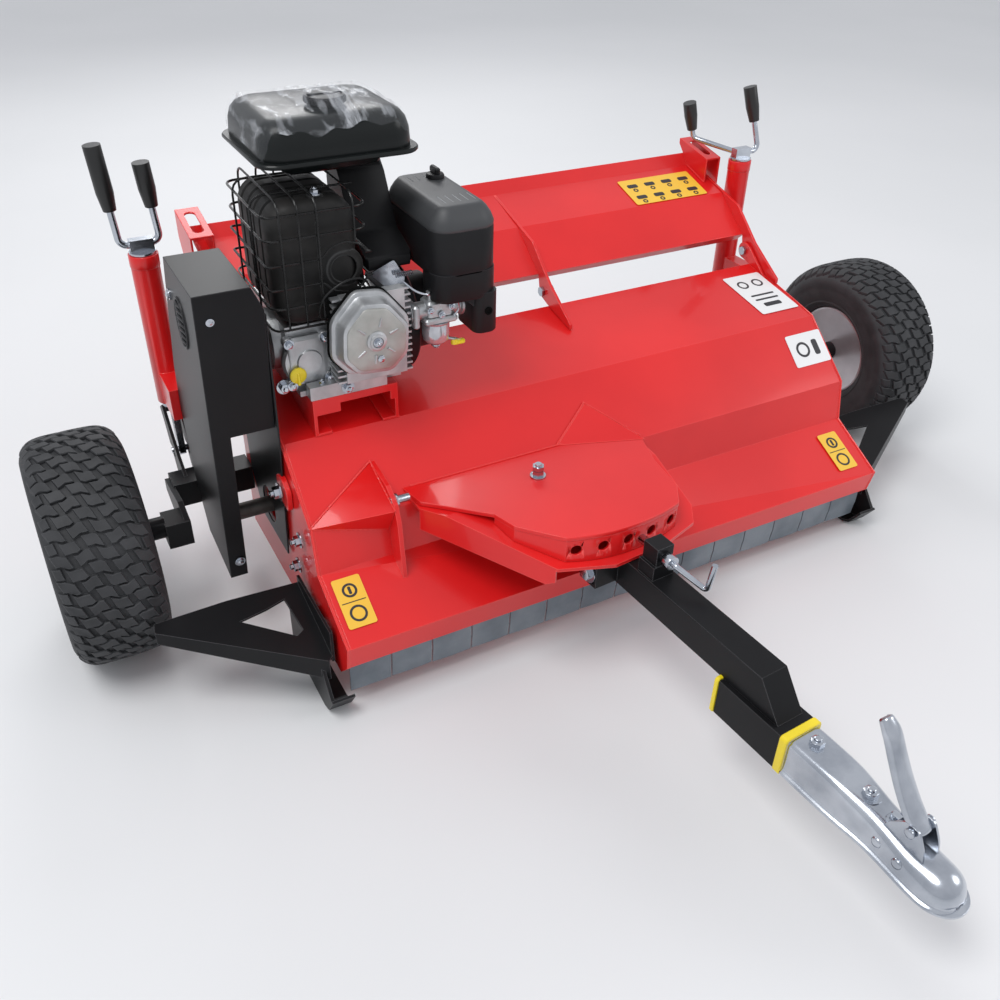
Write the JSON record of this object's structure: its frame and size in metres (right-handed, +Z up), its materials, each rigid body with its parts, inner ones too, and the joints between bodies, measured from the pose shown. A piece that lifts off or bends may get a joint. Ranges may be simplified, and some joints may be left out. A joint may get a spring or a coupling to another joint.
{
  "type": "brush mower",
  "caption": "Towed flail mower with its own engine: rounded red deck, raised rear hood, two crank-adjusted wheels, front flaps, belt-driven rotor and a swinging drawbar with ball coupler.",
  "frame": {"origin": "centre of the whole machine's box, on the floor", "axes": "+X to the right-hand end of the deck seen from behind the drawbar looking rearwards, +Y to the rear, +Z up; the drawbar points to -Y"},
  "size_m": [1.942, 1.5326, 0.921],
  "materials": {
    "red_paint": "gloss powder coat",
    "black_paint": "semi-gloss powder coat",
    "zinc": "bright zinc plate",
    "rotor_steel": "dark rolled steel",
    "tyre_rubber": "matte rubber",
    "rim_paint": "satin silver paint",
    "cast_aluminium": "as cast",
    "black_plastic": "fine texture",
    "tank_paint": "gloss black",
    "grip_plastic": "satin",
    "yellow_plastic": "gloss",
    "belt_rubber": "matte",
    "flap_grey": "matte grey",
    "muffler_black": "heat-resistant matte black"
  },
  "bodies": {
    "deck": {"deck_shell": "red_paint", "side_plate_left": "red_paint", "side_plate_right": "red_paint", "engine_stand": "red_paint", "hitch_plate_upper": "red_paint", "hitch_plate_lower": "red_paint", "hitch_arc_band": "red_paint", "hitch_gussets": "red_paint", "adjuster_tube_left": "red_paint", "adjuster_tube_right": "red_paint", "skids": "black_paint", "wheel_deflectors": "black_paint", "belt_guard": "black_paint", "belt_guard_back": "black_paint", "flap_rod": "black_paint", "hinge_bolts": "zinc", "hitch_pins": "zinc", "rotor_bearings": "rotor_steel", "crankcase": "cast_aluminium", "cylinder_head": "cast_aluminium", "rocker_cover": "cast_aluminium", "carburettor": "cast_aluminium", "engine_rails": "cast_aluminium", "air_filter": "black_plastic", "blower_housing": "black_plastic", "fuel_tank": "tank_paint", "drive_belts": "belt_rubber", "muffler": "muffler_black", "muffler_cage": "muffler_black"},
    "hood": {"hood_panel": "red_paint", "hood_ribs": "red_paint", "hood_handles": "red_paint"},
    "front_flaps": {"front_flaps": "flap_grey"},
    "rotor": {"rotor": "rotor_steel", "flails": "rotor_steel", "rotor_pulley": "rotor_steel"},
    "engine_pulley": {"engine_pulley": "rotor_steel"},
    "wheel_arm_left": {"wheel_arm_left": "black_paint"},
    "wheel_arm_right": {"wheel_arm_right": "black_paint"},
    "wheel_left": {"rim_left": "rim_paint", "tyre_left": "tyre_rubber"},
    "wheel_right": {"rim_right": "rim_paint", "tyre_right": "tyre_rubber"},
    "lift_left": {"lift_tube_left": "zinc"},
    "lift_right": {"lift_tube_right": "zinc"},
    "crank_left": {"crank_left": "zinc", "crank_grips_left": "grip_plastic"},
    "crank_right": {"crank_right": "zinc", "crank_grips_right": "grip_plastic"},
    "drawbar": {"drawbar": "black_paint", "front_stub": "black_paint", "stub_caps": "yellow_plastic", "coupler_body": "zinc", "bar_bolts": "zinc"},
    "lock_pin": {"lock_pin": "zinc"},
    "coupler_lever": {"coupler_lever": "zinc"},
    "fuel_cap": {"fuel_cap": "black_plastic"},
    "air_filter_knob": {"air_filter_knob": "black_plastic"},
    "dipstick": {"dipstick": "yellow_plastic"},
    "recoil_handle": {"recoil_handle": "black_plastic"}
  },
  "joints": [
    {"name": "hood_hinge", "type": "hinge", "parent": "deck", "child": "hood", "pos_m": [0.006, 0.5096, 0.467], "axis": [1, 0, 0], "range_deg": [-95, 0]},
    {"name": "flap_hinge", "type": "hinge", "parent": "deck", "child": "front_flaps", "pos_m": [0.006, 0.0476, 0.116], "axis": [1, 0, 0], "range_deg": [0, 75]},
    {"name": "rotor_spin", "type": "hinge", "parent": "deck", "child": "rotor", "pos_m": [0.006, 0.3916, 0.215], "axis": [1, 0, 0], "continuous": true},
    {"name": "engine_spin", "type": "hinge", "parent": "deck", "child": "engine_pulley", "pos_m": [-0.61, 0.3866, 0.545], "axis": [1, 0, 0], "continuous": true},
    {"name": "arm_left", "type": "hinge", "parent": "deck", "child": "wheel_arm_left", "pos_m": [-0.6, 0.5366, 0.2], "axis": [1, 0, 0], "range_deg": [-12, 12]},
    {"name": "wheel_spin_left", "type": "hinge", "parent": "wheel_arm_left", "child": "wheel_left", "pos_m": [-0.8884, 0.4216, 0.2046], "axis": [1, 0, 0], "continuous": true},
    {"name": "lift_slide_left", "type": "slide", "parent": "deck", "child": "lift_left", "axis": [0, 0, 1], "range_m": [-0.018, 0.018]},
    {"name": "crank_turn_left", "type": "hinge", "parent": "deck", "child": "crank_left", "pos_m": [-0.688, 0.6216, 0.64], "axis": [0, 0, 1], "range_deg": [-1215, 1215]},
    {"name": "arm_right", "type": "hinge", "parent": "deck", "child": "wheel_arm_right", "pos_m": [0.6, 0.5366, 0.2], "axis": [1, 0, 0], "range_deg": [-12, 12]},
    {"name": "wheel_spin_right", "type": "hinge", "parent": "wheel_arm_right", "child": "wheel_right", "pos_m": [0.8884, 0.4216, 0.2046], "axis": [1, 0, 0], "continuous": true},
    {"name": "lift_slide_right", "type": "slide", "parent": "deck", "child": "lift_right", "axis": [0, 0, 1], "range_m": [-0.018, 0.018]},
    {"name": "crank_turn_right", "type": "hinge", "parent": "deck", "child": "crank_right", "pos_m": [0.626, 0.6216, 0.64], "axis": [0, 0, 1], "range_deg": [-1215, 1215]},
    {"name": "drawbar_swing", "type": "hinge", "parent": "deck", "child": "drawbar", "pos_m": [-0.109, 0.1096, 0.23], "axis": [0, 0, 1], "range_deg": [-15, 15]},
    {"name": "lock_pin_pull", "type": "slide", "parent": "drawbar", "child": "lock_pin", "axis": [0.0715, -0.9974, 0], "range_m": [0, 0.016], "stiffness_N_per_m": 600, "springref_m": -0.01},
    {"name": "coupler_lever_hinge", "type": "hinge", "parent": "drawbar", "child": "coupler_lever", "pos_m": [-0.05309, -0.6704, 0.205], "axis": [0.9974, 0.0715, 0], "range_deg": [0, 45]},
    {"name": "fuel_cap_turn", "type": "hinge", "parent": "deck", "child": "fuel_cap", "pos_m": [-0.418, 0.3896, 0.91], "axis": [0, 0, 1], "range_deg": [0, 90]},
    {"name": "filter_knob_turn", "type": "hinge", "parent": "deck", "child": "air_filter_knob", "pos_m": [-0.232, 0.4016, 0.77], "axis": [0, 0, 1], "continuous": true},
    {"name": "dipstick_turn", "type": "hinge", "parent": "deck", "child": "dipstick", "pos_m": [-0.53, 0.3036, 0.512], "axis": [0, 1, 0], "continuous": true},
    {"name": "recoil_pull", "type": "slide", "parent": "deck", "child": "recoil_handle", "axis": [1, 0, 0], "range_m": [0, 0.2], "stiffness_N_per_m": 40, "springref_m": -0.02}
  ],
  "couplings": [
    {"joint": "engine_spin", "follows": "rotor_spin", "ratio": 1.4091},
    {"joint": "lift_slide_left", "follows": "arm_left", "m_per_rad": 0.08},
    {"joint": "crank_turn_left", "follows": "arm_left", "ratio": 100.53},
    {"joint": "lift_slide_right", "follows": "arm_right", "m_per_rad": 0.08},
    {"joint": "crank_turn_right", "follows": "arm_right", "ratio": 100.53}
  ]
}
